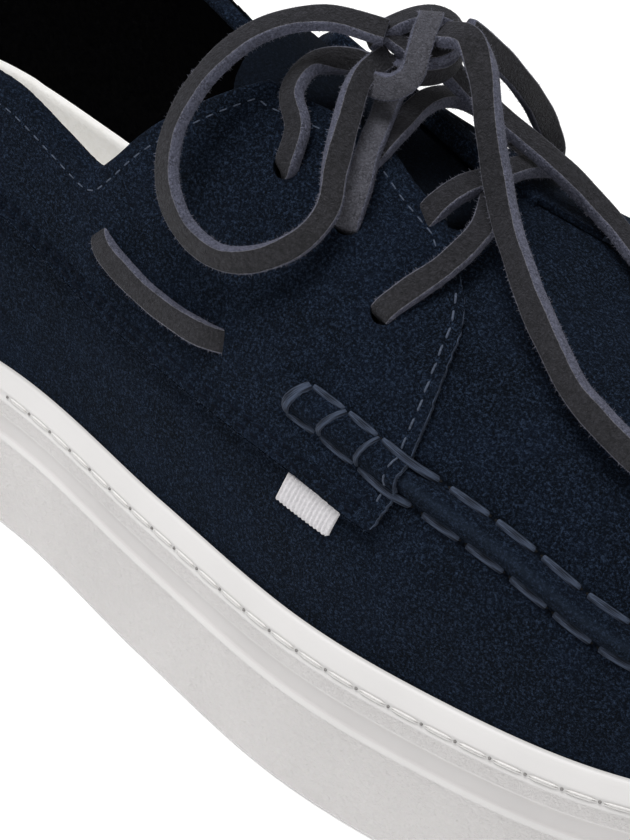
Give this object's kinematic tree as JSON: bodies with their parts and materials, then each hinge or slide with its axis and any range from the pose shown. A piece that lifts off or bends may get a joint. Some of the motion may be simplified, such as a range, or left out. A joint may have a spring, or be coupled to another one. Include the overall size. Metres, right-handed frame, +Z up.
{
  "type": "boat shoe",
  "caption": "Low lace-up boat shoe with a hollow moccasin upper, raised toe seam, saddle overlays, a leather lace tied in a bow and a thick cup sole.",
  "frame": {"origin": "on the floor under the middle of the sole's length and width", "axes": "+X from heel to toe, +Y to the inner (medial) side of this right shoe, +Z up"},
  "size_m": [0.302, 0.1117, 0.1229],
  "materials": {
    "sole_rubber": "matte off-white",
    "suede": "napped dark navy suede",
    "footbed": "smooth off-white",
    "lace_leather": "matte grey thong with raw edges",
    "ribbon": "plain ribbed ribbon"
  },
  "bodies": {
    "root": {"cup_sole": "sole_rubber", "upper": "suede", "insole": "footbed", "tongue": "suede", "saddle_outer": "suede", "saddle_inner": "suede", "collar_lace_outer": "lace_leather", "collar_lace_inner": "lace_leather", "ribbon_tab": "ribbon", "lace_bars_front": "lace_leather", "lace_bars_rear": "lace_leather", "bow_knot": "lace_leather", "bow_loop_outer": "lace_leather", "bow_loop_inner": "lace_leather", "lace_end_outer": "lace_leather", "lace_end_inner": "lace_leather"}
  },
  "joints": []
}
